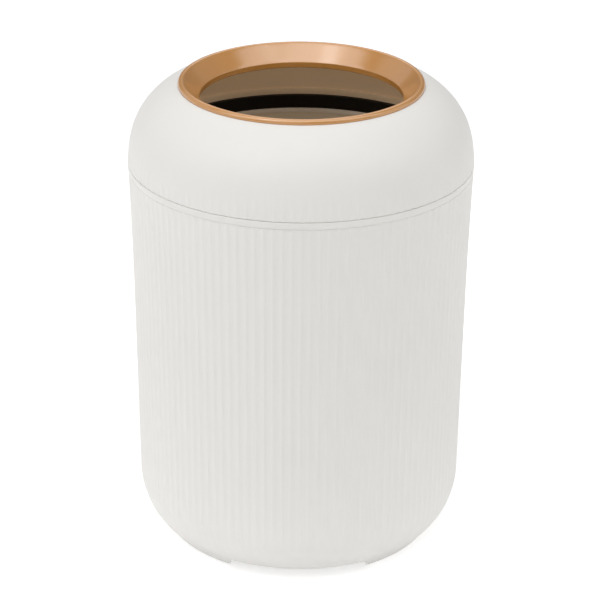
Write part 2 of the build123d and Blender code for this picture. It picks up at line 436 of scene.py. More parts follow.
@dataclass(frozen=True)
class MouldedPlastic:
    """Matt moulded plastic: fine spark-eroded grain, polished ridges and painted shade on the foot.

    Where the attribute "inside" is above 0 it takes a painted warm shade and a painted glow,
    which stands for light that the wall lets in. The painted shade goes from inner to
    deep_shade with the attribute "depth".
    """

    name: str
    outer: Colour
    inner: Colour
    deep_shade: Colour
    glow: Colour = (0.065, 0.050, 0.032)
    glow_least: float = 0.85
    glow_cloud: float = 0.3
    cloud_size: float = 0.055
    mottle_size: float = 0.009
    darker: float = 0.955
    shade_below: float = 0.044
    shade_rise: float = 0.038
    foot_shade: float = 0.29
    roughness: float = 0.46
    mottle_rough: float = 0.10
    cloud_rough: float = 0.08
    ridge_polish: float = 0.07
    flow_size: float = 0.02
    flow_height: float = 0.00003
    grain_size: float = 0.0007
    grain_height: float = 0.000012
    ior: float = 1.49

    def material(self) -> bpy.types.Material:
        """Build the finish.

        Returns:
            The material.
        """
        shader = Shader(self.name)
        inside = shader.attribute("inside")
        cloud = shader.noise(self.cloud_size, 3.0, 0.45)
        mottle = shader.noise(self.mottle_size, 2.0)
        darker = tuple(self.darker * channel for channel in self.outer)
        skin = shader.blend(0.7 * cloud + 0.3 * mottle - 0.1, self.outer, darker)
        # Painted shade: the skin darkens towards the bottom, where the foot faces the floor.
        low = ((self.shade_below - shader.along(2)) / self.shade_rise).within(0.0, 1.0) ** 2.0
        skin = shader.blend(self.foot_shade * low * (0.8 + 0.4 * mottle), skin, NO_LIGHT)
        # Painted warm shade for the inner faces, from inner to deep_shade down the depth mark.
        inside_shade = shader.blend(shader.attribute("depth").within(0.0, 1.0), self.inner, self.deep_shade)
        polish = self.ridge_polish * shader.attribute("ridge")
        uneven = self.mottle_rough * (mottle - 0.5) + self.cloud_rough * (cloud - 0.5)
        flow = shader.bump(shader.noise(self.flow_size, 2.0), self.flow_height)
        grain = shader.noise(self.grain_size, 2.0, 0.6)
        # Painted glow on the inner faces: an emission that is no lamp.
        inner_glow = inside * (self.glow_least + self.glow_cloud * cloud)
        return shader.finish(
            Base_Color=shader.blend(inside, skin, inside_shade), Roughness=self.roughness + uneven - polish,
            Normal=shader.bump(grain, self.grain_height, flow), IOR=self.ior,
            Emission_Color=shader.blend(inner_glow, NO_LIGHT, self.glow), Emission_Strength=1.0)


@dataclass(frozen=True)
class MetallisedTrim:
    """Satin copper-coloured metal film under a clear coat, with fine flakes and brushed haze."""

    name: str
    face: Colour
    shade: Colour
    flake_size: float = 0.00035
    flake_height: float = 0.000006
    haze_size: float = 0.012
    haze_height: float = 0.00002
    roughness: float = 0.50
    haze_rough: float = 0.10
    flake_rough: float = 0.08
    metal: float = 0.12
    haze_metal: float = 0.1
    coat_roughness: float = 0.2
    coat_ior: float = 2.1

    def material(self) -> bpy.types.Material:
        """Build the finish.

        Returns:
            The material.
        """
        shader = Shader(self.name)
        flakes = shader.noise(self.flake_size, 2.0, 0.7)
        haze = shader.noise(self.haze_size, 3.0)
        colour = shader.blend((0.55 * haze + 0.45 * flakes).within(0.0, 1.0), self.face, self.shade)
        uneven = self.haze_rough * (haze - 0.5) + self.flake_rough * (flakes - 0.5)
        normal = shader.bump(flakes, self.flake_height, shader.bump(haze, self.haze_height))
        return shader.finish(
            Base_Color=colour, Roughness=self.roughness + uneven, Normal=normal,
            Metallic=self.metal + self.haze_metal * haze, Coat_Weight=1.0,
            Coat_Roughness=self.coat_roughness, Coat_IOR=self.coat_ior)


@dataclass(frozen=True)
class SatinBlack:
    """Black moulded plastic, satin, with scuffs from bags drawn over it."""

    name: str
    face: Colour
    scuff: Colour
    grain_size: float = 0.0008
    grain_height: float = 0.000012
    rub_size: float = 0.006
    rub_from: float = 0.55
    rub_gain: float = 4.0
    rub_share: float = 0.5
    roughness: float = 0.5
    rub_rough: float = 0.12
    grain_rough: float = 0.06
    specular: float = 0.22

    def material(self) -> bpy.types.Material:
        """Build the finish.

        Returns:
            The material.
        """
        shader = Shader(self.name)
        grain = shader.noise(self.grain_size, 3.0, 0.6)
        rubbed = shader.noise(self.rub_size, 4.0, 0.65)
        worn = ((rubbed - self.rub_from) * self.rub_gain).within(0.0, 1.0)
        return shader.finish(
            Base_Color=shader.blend(self.rub_share * worn, self.face, self.scuff),
            Roughness=self.roughness + self.rub_rough * worn + self.grain_rough * grain,
            Normal=shader.bump(grain, self.grain_height), Specular_IOR_Level=self.specular)


@dataclass(frozen=True)
class SoftRubber:
    """Dull rubber with dust in its fine texture."""

    name: str
    face: Colour
    dust: Colour
    pore_size: float = 0.0006
    pore_height: float = 0.00004
    dust_size: float = 0.004
    dust_gain: float = 3.0
    dust_share: float = 0.6
    roughness: float = 0.8
    dust_rough: float = 0.12

    def material(self) -> bpy.types.Material:
        """Build the finish.

        Returns:
            The material.
        """
        shader = Shader(self.name)
        pores = shader.noise(self.pore_size, 4.0, 0.7)
        dusty = ((shader.noise(self.dust_size, 3.0) - 0.5) * self.dust_gain).within(0.0, 1.0)
        return shader.finish(
            Base_Color=shader.blend(self.dust_share * dusty, self.face, self.dust),
            Roughness=self.roughness + self.dust_rough * dusty,
            Normal=shader.bump(pores, self.pore_height))


@dataclass(frozen=True)
class PaleFloor:
    """Seamless white studio floor: it glows in a pool round the bin, behind it and far away."""

    name: str
    paint: Colour
    pool: float
    far: float
    pool_radius: float = 0.45
    bare_radius: float = 0.07
    bare_rise: float = 0.015
    rear_start: float = 0.1
    rear_rise: float = 0.25
    far_start: float = 0.5
    far_rise: float = 0.6
    cloud_size: float = 0.6
    cloud_share: float = 0.3
    darker: float = 0.97
    roughness: float = 0.85
    cloud_rough: float = 0.1

    def material(self) -> bpy.types.Material:
        """Build the finish.

        Returns:
            The material.
        """
        shader = Shader(self.name)
        cloud = shader.noise(self.cloud_size, 3.0)
        darker = tuple(self.darker * channel for channel in self.paint)
        across, along = shader.along(0), shader.along(1)
        away = (across * across + along * along) ** 0.5
        # Painted shadow: the floor's glow stops under the bin.
        bare = ((away - self.bare_radius) / self.bare_rise).within(0.0, 1.0)
        pool = self.pool * (-1.0 * (away / self.pool_radius) ** 2.0).math("EXPONENT") * bare
        rear = ((along - self.rear_start) / self.rear_rise).within(0.0, 1.0)
        far = ((away - self.far_start) / self.far_rise).within(0.0, 1.0)
        total = (pool + self.far * rear.math("MAXIMUM", far)).within(0.0, 1.0)
        return shader.finish(
            Base_Color=shader.blend(self.cloud_share * cloud, self.paint, darker),
            Roughness=self.roughness + self.cloud_rough * (cloud - 0.5),
            Emission_Color=shader.blend(total, NO_LIGHT, FULL_LIGHT), Emission_Strength=1.0)


# --------------------------------------------------------------------------------------------
# Sections and turned meshes
# --------------------------------------------------------------------------------------------
def line(start: Row, end: Row, steps: int) -> list[Row]:
    """Rows evenly spaced from start up to, but without, the end.

    Args:
        start: Radius and height of the first row.
        end: Radius and height that the next stretch starts from.
        steps: Number of rows.

    Returns:
        The rows.
    """
    return [(start[0] + (end[0] - start[0]) * i / steps, start[1] + (end[1] - start[1]) * i / steps)
            for i in range(steps)]


def arc(centre: Row, radius: float, first: float, last: float, steps: int) -> list[Row]:
    """Rows on an arc, both ends included.

    Args:
        centre: Radius and height of its centre.
        radius: Its radius.
        first: Angle of its first row, in degrees up from pointing outwards.
        last: Angle of its last row.
        steps: Number of rows.

    Returns:
        The rows.
    """
    angles = np.radians(np.linspace(first, last, steps))
    return [(centre[0] + radius * math.cos(a), centre[1] + radius * math.sin(a)) for a in angles]


def corner(before: Row, tip: Row, after: Row, size: float, steps: int = 3) -> list[Row]:
    """Rows that round a corner off.

    Args:
        before: A place on the way to the corner.
        tip: The corner.
        after: A place on the way from it.
        size: How far from the corner the rounding starts and ends.
        steps: Number of rows.

    Returns:
        The rows.
    """
    ends = []
    for place in (before, after):
        run, rise = place[0] - tip[0], place[1] - tip[1]
        length = np.hypot(run, rise)
        ends.append((tip[0] + run / length * size, tip[1] + rise / length * size))
    rows = []
    for t in np.linspace(0.0, 1.0, steps):
        near, middle, far = (1 - t) ** 2, 2 * t * (1 - t), t * t
        rows.append(tuple(near * a + middle * b + far * c for a, b, c in zip(ends[0], tip, ends[1])))
    return rows


def smooth_cap(value: np.ndarray, cap: float, width: float) -> np.ndarray:
    """Smaller of a value and a cap, with a rounded join.

    Args:
        value: The values.
        cap: The limit.
        width: Over what difference the join is rounded.

    Returns:
        The capped values.
    """
    share = np.clip(0.5 + 0.5 * (cap - value) / width, 0.0, 1.0)
    return cap + (value - cap) * share - width * share * (1.0 - share)


@dataclass
class Turned:
    """A closed skin turned about the axis, whose section may change from column to column.

    A mark gives a number to each point from three arrays: the number of the point's row, its
    radius and its height.
    """

    name: str
    columns: np.ndarray
    rows: list[Row]
    poles: bool = False
    marks: dict[str, Mark] = field(default_factory=dict)

    def build(self) -> bpy.types.Object:
        """Make the mesh.

        Returns:
            The object, linked to the scene, with a number on each point for each mark.
        """
        count = len(self.columns)
        radius = np.stack([np.broadcast_to(r, count) for r, _ in self.rows])
        height = np.stack([np.broadcast_to(z, count) for _, z in self.rows])
        index = np.arange(radius.size).reshape(radius.shape)
        if self.poles:
            index[0], index[-1] = index[0, 0], index[-1, 0]
        else:
            index = np.vstack([index, index[:1]])
        follow = np.roll(index, -1, axis=1)
        quads = np.stack([index[:-1], follow[:-1], follow[1:], index[1:]], axis=-1).reshape(-1, 4)
        across, along = radius * np.cos(self.columns), radius * np.sin(self.columns)
        points = np.stack([across, along, height], axis=-1).reshape(-1, 3)
        mesh = bpy.data.meshes.new(self.name)
        mesh.from_pydata(points.tolist(), [], [self._without_repeats(quad) for quad in quads])
        order = np.repeat(np.arange(len(self.rows)), count)
        for title, mark in self.marks.items():
            values = mark(order, radius.ravel(), height.ravel()).astype(np.float32)
            mesh.attributes.new(title, "FLOAT", "POINT").data.foreach_set("value", values)
        return self._weld(mesh)

    @staticmethod
    def _without_repeats(corners: np.ndarray) -> list[int]:
        """Corners of a face, each once."""
        return list(dict.fromkeys(corners.tolist()))

    def _weld(self, mesh: bpy.types.Mesh) -> bpy.types.Object:
        """Merge rows that meet, drop loose points and link the object.

        Args:
            mesh: The new mesh.

        Returns:
            The object.
        """
        work = bmesh.new()
        work.from_mesh(mesh)
        bmesh.ops.remove_doubles(work, verts=work.verts, dist=TOUCH)
        bmesh.ops.delete(work, geom=[v for v in work.verts if not v.link_faces], context="VERTS")
        work.to_mesh(mesh)
        work.free()
        return link(self.name, mesh)


def link(name: str, mesh: bpy.types.Mesh) -> bpy.types.Object:
    """Put a mesh in the scene as a new object.

    Args:
        name: Name of the object.
        mesh: Its mesh.

    Returns:
        The object.
    """
    piece = bpy.data.objects.new(name, mesh)
    bpy.context.scene.collection.objects.link(piece)
    return piece


def moulded(work: bmesh.types.BMesh, name: str) -> bpy.types.Object:
    """Turn a hand-built closed shape into an object, with its faces outward.

    Args:
        work: The shape, which is used up.
        name: Name of the object.

    Returns:
        The object.
    """
    bmesh.ops.recalc_face_normals(work, faces=work.faces)
    mesh = bpy.data.meshes.new(name)
    work.to_mesh(mesh)
    work.free()
    return link(name, mesh)


def evenly_round(columns: int) -> np.ndarray:
    """Directions of evenly spaced mesh columns, in radians."""
    return np.arange(columns) * math.tau / columns


def shade(piece: bpy.types.Object, sharp: float = 30.0) -> bpy.types.Object:
    """Smooth the shading but keep corners crisp.

    Args:
        piece: The object.
        sharp: Angle in degrees from which an edge stays crisp.

    Returns:
        The same object.
    """
    piece.data.shade_smooth()
    piece.data.set_sharp_from_angle(angle=math.radians(sharp))
    return piece


def dress(piece: bpy.types.Object, material: bpy.types.Material) -> bpy.types.Object:
    """Give a piece its one material.

    Args:
        piece: The object.
        material: Its finish.

    Returns:
        The same object.
    """
    piece.data.materials.clear()
    piece.data.materials.append(material)
    return piece


def enter(piece: bpy.types.Object, body: Body, slot: Slot, *nodes: str) -> None:
    """Put a finished piece on its body, in place of its CAD nodes, and report it.

    Args:
        piece: The finished piece.
        body: The body that it moves with.
        slot: The record's slot for its finish; not used.
        nodes: The CAD nodes that it stands for.
    """
    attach(piece, body.value)
    if nodes:
        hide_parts(*nodes)
    log.info("%s: %d faces on %s", piece.name, len(piece.data.polygons), body.value)


# --------------------------------------------------------------------------------------------
# The fluting that barrel and collar share
# --------------------------------------------------------------------------------------------
@dataclass(frozen=True)
class Fluting:
    """Shallow channels side by side, with narrow ridges between them."""

    count: int = 120
    depth: float = 0.00045
    land: float = 0.03
    steps: tuple[float, ...] = (0.03, 0.11, 0.24, 0.41, 0.59, 0.76, 0.89, 0.97)

    def columns(self, turn: float) -> np.ndarray:
        """Directions of the mesh columns, in radians, with two on each ridge.

        Args:
            turn: Direction of the first ridge.

        Returns:
            The directions.
        """
        starts = np.arange(self.count)[:, None]
        return ((starts + np.array(self.steps)) * math.tau / self.count).ravel() + turn

    def cut(self, tool: GeometryTool, piece: bpy.types.Object, material: bpy.types.Material,
            turn: float) -> bpy.types.Object:
        """Sink the channels into a piece.

        Args:
            tool: The fluting tool.
            piece: The turned piece, with the attribute "flute".
            material: Its finish.
            turn: Direction of the first ridge, in radians.

        Returns:
            The fluted piece.
        """
        return tool.run(piece, material, count=float(self.count), depth=self.depth,
                        land=self.land, turn=turn)


# --------------------------------------------------------------------------------------------
# Sub-assemblies
# --------------------------------------------------------------------------------------------
@dataclass
class Barrel:
    """Outer barrel with its floor, its three feet and their rubber pads."""

    fluting: Fluting
    seam_radius: float
    seam_height: float
    foot_edge: float
    turn: float = math.radians(0.3)
    wall: float = 0.0024
    wall_draft: float = 0.8
    seam_draft: float = 2.2
    flare_radius: float = 3.65
    rounding: float = 0.0475
    rounding_centre: float = 0.0393
    mouth_edge: float = 0.0003
    mouth_inner_edge: float = 0.0004
    mouth_lead: float = 0.008
    band: float = 0.0042
    band_groove: float = 0.0006
    band_groove_depth: float = 0.00035
    groove_section: tuple[tuple[float, float], ...] = (
        (-1.2, 0.0), (-1.0, 0.25), (-0.75, 1.0), (-0.25, 1.0), (0.0, 0.2), (0.25, 0.0))
    fade_low: float = 0.018
    fade_high: float = 0.046
    foot_height: float = 0.007
    foot_lean: float = 0.0056
    foot_width: float = 0.009
    foot_rows_top: float = 0.014
    foot_round: float = 0.0009
    foot_corner: float = 0.0004
    under_corner: float = 0.0006
    lip_blend: float = 0.002
    gap_blend: float = 0.0008
    foot_count: int = 3
    gap_half_angle: float = 30.2
    gap_end_lean: float = 27.0
    floor_under: float = 0.009
    floor_thickness: float = 0.0026
    floor_blend: float = 0.004
    pad_arc: float = 44.0
    pad_width: float = 0.0036
    pad_height: float = 0.0024
    pad_gap: float = 0.0002
    pad_bevel: float = 0.0004
    pad_steps: int = 45
    pad_end_steps: int = 9
    # Share of the painted shade and painted glow on the inner face.
    inside_shade_share: float = 0.4

    def __post_init__(self) -> None:
        """Work out the places that follow from the sizes."""
        self.gap_top = self.foot_edge + self.foot_height
        self.floor_top = self.floor_under + self.floor_thickness
        half_turn = math.pi / self.foot_count
        self.gap_directions = -math.pi / 2 + np.arange(self.foot_count) * 2 * half_turn
        self.foot_directions = self.gap_directions + half_turn
        draft = math.radians(self.seam_draft)
        self.flare_centre = (self.seam_radius + self.flare_radius * math.cos(draft),
                             self.seam_height - self.flare_radius * math.sin(draft))
        lower = math.radians(self.wall_draft)
        self.flare_low = self.flare_centre[1] + self.flare_radius * math.sin(lower)
        low_radius = self.flare_centre[0] - self.flare_radius * math.cos(lower)
        tangent = self.rounding_centre - self.rounding * math.sin(lower)
        self.rounding_axis = (low_radius - (self.flare_low - tangent) * math.tan(lower)
                              - self.rounding * math.cos(lower))
        self.foot_radius = float(self.wall_at(self.gap_top)) - self.foot_lean
        self.foot_middle = self.foot_radius - self.foot_width / 2

    def wall_at(self, height: Number, inset: float = 0.0) -> np.ndarray:
        """Radius of the wall, or of a face set in from it.

        Args:
            height: Height above the floor.
            inset: How far in from the outside, square to the wall.

        Returns:
            The radius.
        """
        z = np.asarray(height, float)
        draft = math.radians(self.wall_draft)
        flare = self.flare_radius + inset
        turn = self.rounding - inset
        low = self.rounding_centre - turn * math.sin(draft)
        high = self.flare_centre[1] + flare * math.sin(draft)
        curved = self.flare_centre[0] - np.sqrt(flare ** 2 - (z - self.flare_centre[1]) ** 2)
        straight = self.rounding_axis + turn * math.cos(draft) + (z - low) * math.tan(draft)
        drop = np.clip(z - self.rounding_centre, -turn, 0.0)
        round_ = self.rounding_axis + np.sqrt(turn ** 2 - drop ** 2)
        return np.where(z > high, curved, np.where(z > low, straight, round_))

    def skin_at(self, height: Number) -> np.ndarray:
        """Radius of the outside, with the feet leaning out to the wall.

        Args:
            height: Height above the floor.

        Returns:
            The radius.
        """
        top = self.wall_at(self.gap_top)
        foot = top - (self.gap_top - np.asarray(height, float)) * self.foot_lean / self.foot_height
        return np.where(np.asarray(height) < self.gap_top, foot, self.wall_at(height))

    @staticmethod
    def _from_nearest(columns: np.ndarray, targets: np.ndarray) -> np.ndarray:
        """Angle from each column to the nearest of some directions, without its sign."""
        away = (columns[:, None] - targets[None, :] + math.pi) % math.tau - math.pi
        return np.abs(away).min(axis=1)

    def edge_height(self, columns: np.ndarray, radius: float) -> np.ndarray:
        """Height of the lower edge at a radius: on the floor under a foot, raised in a gap.

        Args:
            columns: Directions, in radians.
            radius: Radius at which the edge is taken.

        Returns:
            The height at each column.
        """
        half = self.foot_radius * math.sin(math.radians(self.gap_half_angle))
        away = self._from_nearest(columns, self.gap_directions)
        beside = radius * np.sin(np.minimum(away, math.pi / 2))
        rise = (half - beside) / math.tan(math.radians(self.gap_end_lean))
        raised = smooth_cap(rise, self.foot_height, self.lip_blend)
        return self.foot_edge - smooth_cap(-raised, 0.0, self.gap_blend)

    def _pad_groove(self, columns: np.ndarray) -> tuple[np.ndarray, np.ndarray]:
        """Groove in the foot for the pad.

        Args:
            columns: Directions, in radians.

        Returns:
            Its half width and its depth at each column.
        """
        angle = self._from_nearest(columns, self.foot_directions)
        past = np.maximum(angle - math.radians(self.pad_arc / 2), 0) * self.foot_middle
        half = self.pad_width / 2 + self.pad_gap
        width = np.sqrt(np.maximum(half ** 2 - past ** 2, 0.0))
        return width, np.where(width > 0, self.pad_height - self.foot_edge, 0.0)

    def rows(self, columns: np.ndarray) -> list[Row]:
        """Section from the floor's underside, round the foot and wall, to the floor's top.

        Args:
            columns: Directions of the mesh columns, in radians.

        Returns:
            The rows.
        """
        inner_radius = self.foot_radius - self.foot_width
        low_in = self.edge_height(columns, inner_radius)
        low_out = self.edge_height(columns, self.foot_radius)
        rim = self.skin_at(low_out)
        width, depth = self._pad_groove(columns)
        top = self.foot_rows_top
        rows: list[Row] = [(0.0, self.floor_under), (inner_radius * 0.5, self.floor_under)]
        rows += corner((0.0, self.floor_under), (inner_radius, self.floor_under),
                       (inner_radius, 0.0), self.under_corner)
        rows += corner((inner_radius, self.floor_under), (inner_radius, low_in), (rim, low_out),
                       self.foot_corner)
        for side, sink in ((-1, 0), (-1, 1), (1, 1), (1, 0)):
            sole = low_in * 0.5 + low_out * 0.5
            rows.append((self.foot_middle + side * width, sole + sink * depth))
        rows += corner((inner_radius, low_in), (rim, low_out), (self.skin_at(top), top + 0 * low_out),
                       self.foot_round, 4)
        for share in (0.25, 0.5, 0.75, 1.0):
            level = low_out + (top - low_out) * share
            rows.append((self.skin_at(level), level))
        return rows + self._wall_rows()

    def _wall_rows(self) -> list[Row]:
        """Rows of the outside from above the feet to the mouth, and down the inside.

        Returns:
            The rows, to the middle of the floor's top.
        """
        top, bottom, bend = self.seam_height, self.floor_top, self.rounding_centre
        band_low = top - self.band
        levels = [*np.linspace(self.foot_rows_top, bend, 10)[1:],
                  *np.linspace(bend, self.flare_low, 5)[1:],
                  *np.linspace(self.flare_low, band_low - 2.5 * self.band_groove, 7)[1:]]
        rows: list[Row] = [(float(self.wall_at(z)), z) for z in levels]
        for place, sink in self.groove_section:
            level = band_low + place * self.band_groove
            rows.append((float(self.wall_at(level)) - sink * self.band_groove_depth, level))
        outside, inside = float(self.wall_at(top)), float(self.wall_at(top, self.wall))
        rows += corner((outside, band_low), (outside, top), (inside, top), self.mouth_edge, 5)
        rows += corner((outside, top), (inside, top), (inside, band_low), self.mouth_inner_edge)
        levels = [*np.linspace(top - self.mouth_lead, self.flare_low, 4),
                  *np.linspace(self.flare_low, bend, 4)[1:],
                  *np.linspace(bend, bottom + 0.3 * self.floor_blend, 9)[1:]]
        rows += [(float(self.wall_at(z, self.wall)), z) for z in levels]
        ground = float(self.wall_at(bottom, self.wall))
        return rows + [
            (ground - 0.4 * self.floor_blend, bottom + 0.05 * self.floor_blend),
            (ground - self.floor_blend, bottom), (ground * 0.5, bottom), (0.0, bottom)]

    def _flute_mark(self, order: np.ndarray, radius: np.ndarray, height: np.ndarray) -> np.ndarray:
        """Where the channels are cut: not near the foot, on the band or inside.

        Args:
            order: Number of each point's row; not used.
            radius: Its radius.
            height: Its height.

        Returns:
            Share of their full depth at each point.
        """
        rise = np.clip((height - self.fade_low) / (self.fade_high - self.fade_low), 0.0, 1.0)
        fade = rise * rise * (3.0 - 2.0 * rise)
        outside = radius > self.wall_at(height) - self.wall / 2
        below_band = height < self.seam_height - self.band - self.band_groove * 1.1
        return fade * outside * below_band

    def _inside_mark(self, order: np.ndarray, radius: np.ndarray, height: np.ndarray) -> np.ndarray:
        """Share of the painted inner shade and glow on the inner face."""
        inside = (radius < self.wall_at(height) - self.wall * 0.8) & (height > self.floor_top - 10 * TOUCH)
        return self.inside_shade_share * inside

    def body(self, tool: GeometryTool, material: bpy.types.Material) -> bpy.types.Object:
        """Barrel, floor and feet in one skin.

        Args:
            tool: The fluting tool.
            material: The moulded finish.

        Returns:
            The finished piece.
        """
        columns = self.fluting.columns(self.turn)
        turned = Turned("outer_barrel_shell", columns, self.rows(columns), poles=True,
                        marks={"flute": self._flute_mark, "inside": self._inside_mark})
        return shade(self.fluting.cut(tool, turned.build(), material, self.turn))

    def pads(self, tool: GeometryTool, material: bpy.types.Material) -> bpy.types.Object:
        """Rubber pads in the feet: one modelled at the rear, the others copied round.

        Args:
            tool: The copying tool.
            material: The rubber finish.

        Returns:
            The finished piece.
        """
        return shade(tool.run(self._one_pad(), material, count=self.foot_count, start=0.0))

    def _pad_outline(self) -> list[tuple[float, float]]:
        """Round-ended arc, seen from below, with its middle towards +X.

        Returns:
            Its corners in the floor's plane.
        """
        half, reach = self.pad_width / 2, math.radians(self.pad_arc / 2)
        outline = []
        for side, back in ((1, 0.0), (-1, math.pi)):
            sweep = np.linspace(-side * reach, side * reach, self.pad_steps)
            edge = self.foot_middle + side * half
            outline += [(edge * math.cos(a), edge * math.sin(a)) for a in sweep]
            end = sweep[-1]
            centre = self.foot_middle * math.cos(end), self.foot_middle * math.sin(end)
            for turn in np.linspace(0, math.pi, self.pad_end_steps)[1:-1]:
                a = end + turn + back
                outline.append((centre[0] + half * math.cos(a), centre[1] + half * math.sin(a)))
        return outline

    def _one_pad(self) -> bpy.types.Object:
        """Rear pad, with a bevelled sole.

        Returns:
            The pad.
        """
        work = bmesh.new()
        face = work.faces.new([work.verts.new((x, y, 0.0)) for x, y in self._pad_outline()])
        work.normal_update()
        if face.normal.z > 0:
            face.normal_flip()
        grown = bmesh.ops.extrude_face_region(work, geom=[face])
        lifted = [v for v in grown["geom"] if isinstance(v, bmesh.types.BMVert)]
        bmesh.ops.translate(work, verts=lifted, vec=(0.0, 0.0, self.pad_height))
        sole = [e for e in work.edges if all(v.co.z < TOUCH for v in e.verts)]
        bmesh.ops.bevel(work, geom=sole, offset=self.pad_bevel, segments=2, affect="EDGES",
                        profile=0.5)
        quarter = Matrix.Rotation(math.pi / 2, 3, "Z")
        bmesh.ops.rotate(work, verts=work.verts, matrix=quarter)
        return moulded(work, "foot_pads")


@dataclass
class Collar:
    """Domed collar that rests on the barrel, with its locating spigot and the round mouth."""

    fluting: Fluting
    seam_radius: float
    seam_height: float
    spigot_inner: float
    turn: float = math.radians(0.73)
    wall: float = 0.0022
    seam_lean: float = 1.2
    shoulder: float = 0.0892
    shoulder_turn: float = 10.1
    end_slope: float = 18.5
    seat_radius: float = 0.0795
    seat_depth: float = 0.0004
    flange: float = 0.0024
    mouth_radius: float = 0.0747
    spigot_depth: float = 0.008
    spigot_rise: float = 0.0107
    spigot_wall: float = 0.0014
    spigot_lead: float = 0.002
    spigot_tail: float = 0.001
    spigot_edge: float = 0.0003
    spigot_tip: float = 0.0004
    edge: float = 0.0002
    slot: float = 0.00028
    slot_depth: float = 0.0012
    fade: float = 0.026
    dome_steps: int = 34
    inside_steps: int = 12

    def __post_init__(self) -> None:
        """Work out the centres of the dome's two radii."""
        lean = math.radians(self.seam_lean)
        self.low_centre = (self.seam_radius - self.shoulder * math.cos(lean),
                           self.seam_height - self.shoulder * math.sin(lean))
        self.join = self.seam_lean + self.shoulder_turn
        join = math.radians(self.join)
        at_join = self.low_centre[0] + self.shoulder * math.cos(join)
        slope = math.radians(self.end_slope)
        self.crown = (at_join - self.seat_radius) / (math.cos(join) - math.sin(slope))
        self.high_centre = (at_join - self.crown * math.cos(join),
                            self.low_centre[1] + (self.shoulder - self.crown) * math.sin(join))
        self.top = self.high_centre[1] + self.crown * math.cos(slope)
        self.seat = self.top - self.seat_depth

    def _outside(self) -> list[Row]:
        """Rows up the dome, from just above the slot at the seam to the seat of the mouth ring.

        Returns:
            The rows.
        """
        low = arc(self.low_centre, self.shoulder, self.seam_lean, self.join, self.dome_steps // 2)
        high = arc(self.high_centre, self.crown, self.join, 90 - self.end_slope, self.dome_steps)
        return [row for row in low[:-1] + high if row[1] > self.seam_height + 3 * self.slot]

    def _inside(self, top: float, bottom: float) -> list[Row]:
        """Rows down the inner face of the dome.

        Args:
            top: Height of the flange's underside.
            bottom: Height that all rows stay above.

        Returns:
            The rows.
        """
        inner = self.crown - self.wall
        reach = math.degrees(math.asin((top - self.high_centre[1]) / inner))
        high = arc(self.high_centre, inner, reach, self.join, self.inside_steps)
        low = arc(self.low_centre, self.shoulder - self.wall, self.join, self.seam_lean,
                  self.inside_steps)
        return [row for row in high + low if row[1] > bottom]

    def rows(self) -> list[Row]:
        """Closed section: dome, seat, flange, inside, spigot and lower face.

        Returns:
            The rows.
        """
        seam, seat, edge, mouth = self.seam_height, self.seat, self.edge, self.mouth_radius
        under, step, bottom = seat - self.flange, seam + self.spigot_rise, seam - self.spigot_depth
        inner, outer = self.spigot_inner, self.spigot_inner + self.spigot_wall
        outside, inside = self._outside(), self._inside(under, step + edge)
        lip, slot_end = seam + self.slot, self.seam_radius - self.slot_depth
        rows = [(slot_end, seam), (slot_end, lip)]
        rows += corner((outer, lip), (self.seam_radius, lip), outside[0], edge, 4) + outside
        rows += [(self.seat_radius, seat), (mouth + edge, seat), (mouth, seat - edge),
                 (mouth, under + edge), (mouth + edge, under)]
        rows += inside + [(inside[-1][0], step + edge / 2)]
        rows += corner(inside[-1], (inner, step), (inner, bottom), self.spigot_edge)
        rows += line((inner, step - self.spigot_lead), (inner, bottom + self.spigot_tail), 6)
        rows += corner((inner, step), (inner, bottom), (outer, bottom), self.spigot_edge)
        rows += corner((inner, bottom), (outer, bottom), (outer, seam), self.spigot_tip)
        return rows + [(outer, seam)]

    def _flute_mark(self, order: np.ndarray, radius: np.ndarray, height: np.ndarray) -> np.ndarray:
        """Where the channels are cut: they fade out up the dome.

        Args:
            order: Number of each point's row; not used.
            radius: Its radius.
            height: Its height.

        Returns:
            Share of their full depth at each point.
        """
        left = np.clip(1.0 - (height - self.seam_height) / self.fade, 0.0, 1.0)
        clear = np.hypot(radius - self.low_centre[0], height - self.low_centre[1])
        skin = clear > self.shoulder - self.slot_depth * 0.7
        return left ** 2 * skin * (height > self.seam_height + self.slot * 0.9)

    def _inside_mark(self, order: np.ndarray, radius: np.ndarray, height: np.ndarray) -> np.ndarray:
        """Where painted inner shade and glow go: on the inner face and the spigot, not in the slot.

        Args:
            order: Number of each point's row; not used.
            radius: Its radius.
            height: Its height.

        Returns:
            Whether it shows at each point.
        """
        near_low = np.hypot(radius - self.low_centre[0], height - self.low_centre[1])
        near_high = np.hypot(radius - self.high_centre[0], height - self.high_centre[1])
        split = self.low_centre[1] + self.shoulder * math.sin(math.radians(self.join))
        sunk = np.where(height < split, near_low < self.shoulder - self.wall * 0.6,
                        near_high < self.crown - self.wall * 0.6)
        in_slot = (height < self.seam_height + 2 * self.slot) & (
            radius > self.spigot_inner + self.spigot_wall / 2)
        return sunk & ~in_slot

    def _depth_mark(self, order: np.ndarray, radius: np.ndarray, height: np.ndarray) -> np.ndarray:
        """0 high under the dome to 1 down on the spigot, for the darker painted shade lower down."""
        return np.clip((self.seat - height) / (self.seat - self.seam_height), 0.0, 1.0) ** 1.5

    def body(self, tool: GeometryTool, material: bpy.types.Material) -> bpy.types.Object:
        """Collar in one skin.

        Args:
            tool: The fluting tool.
            material: The moulded finish.

        Returns:
            The finished piece.
        """
        columns = self.fluting.columns(self.turn)
        turned = Turned("top_collar_dome", columns, self.rows(), marks={
            "flute": self._flute_mark, "inside": self._inside_mark, "depth": self._depth_mark})
        return shade(self.fluting.cut(tool, turned.build(), material, self.turn))


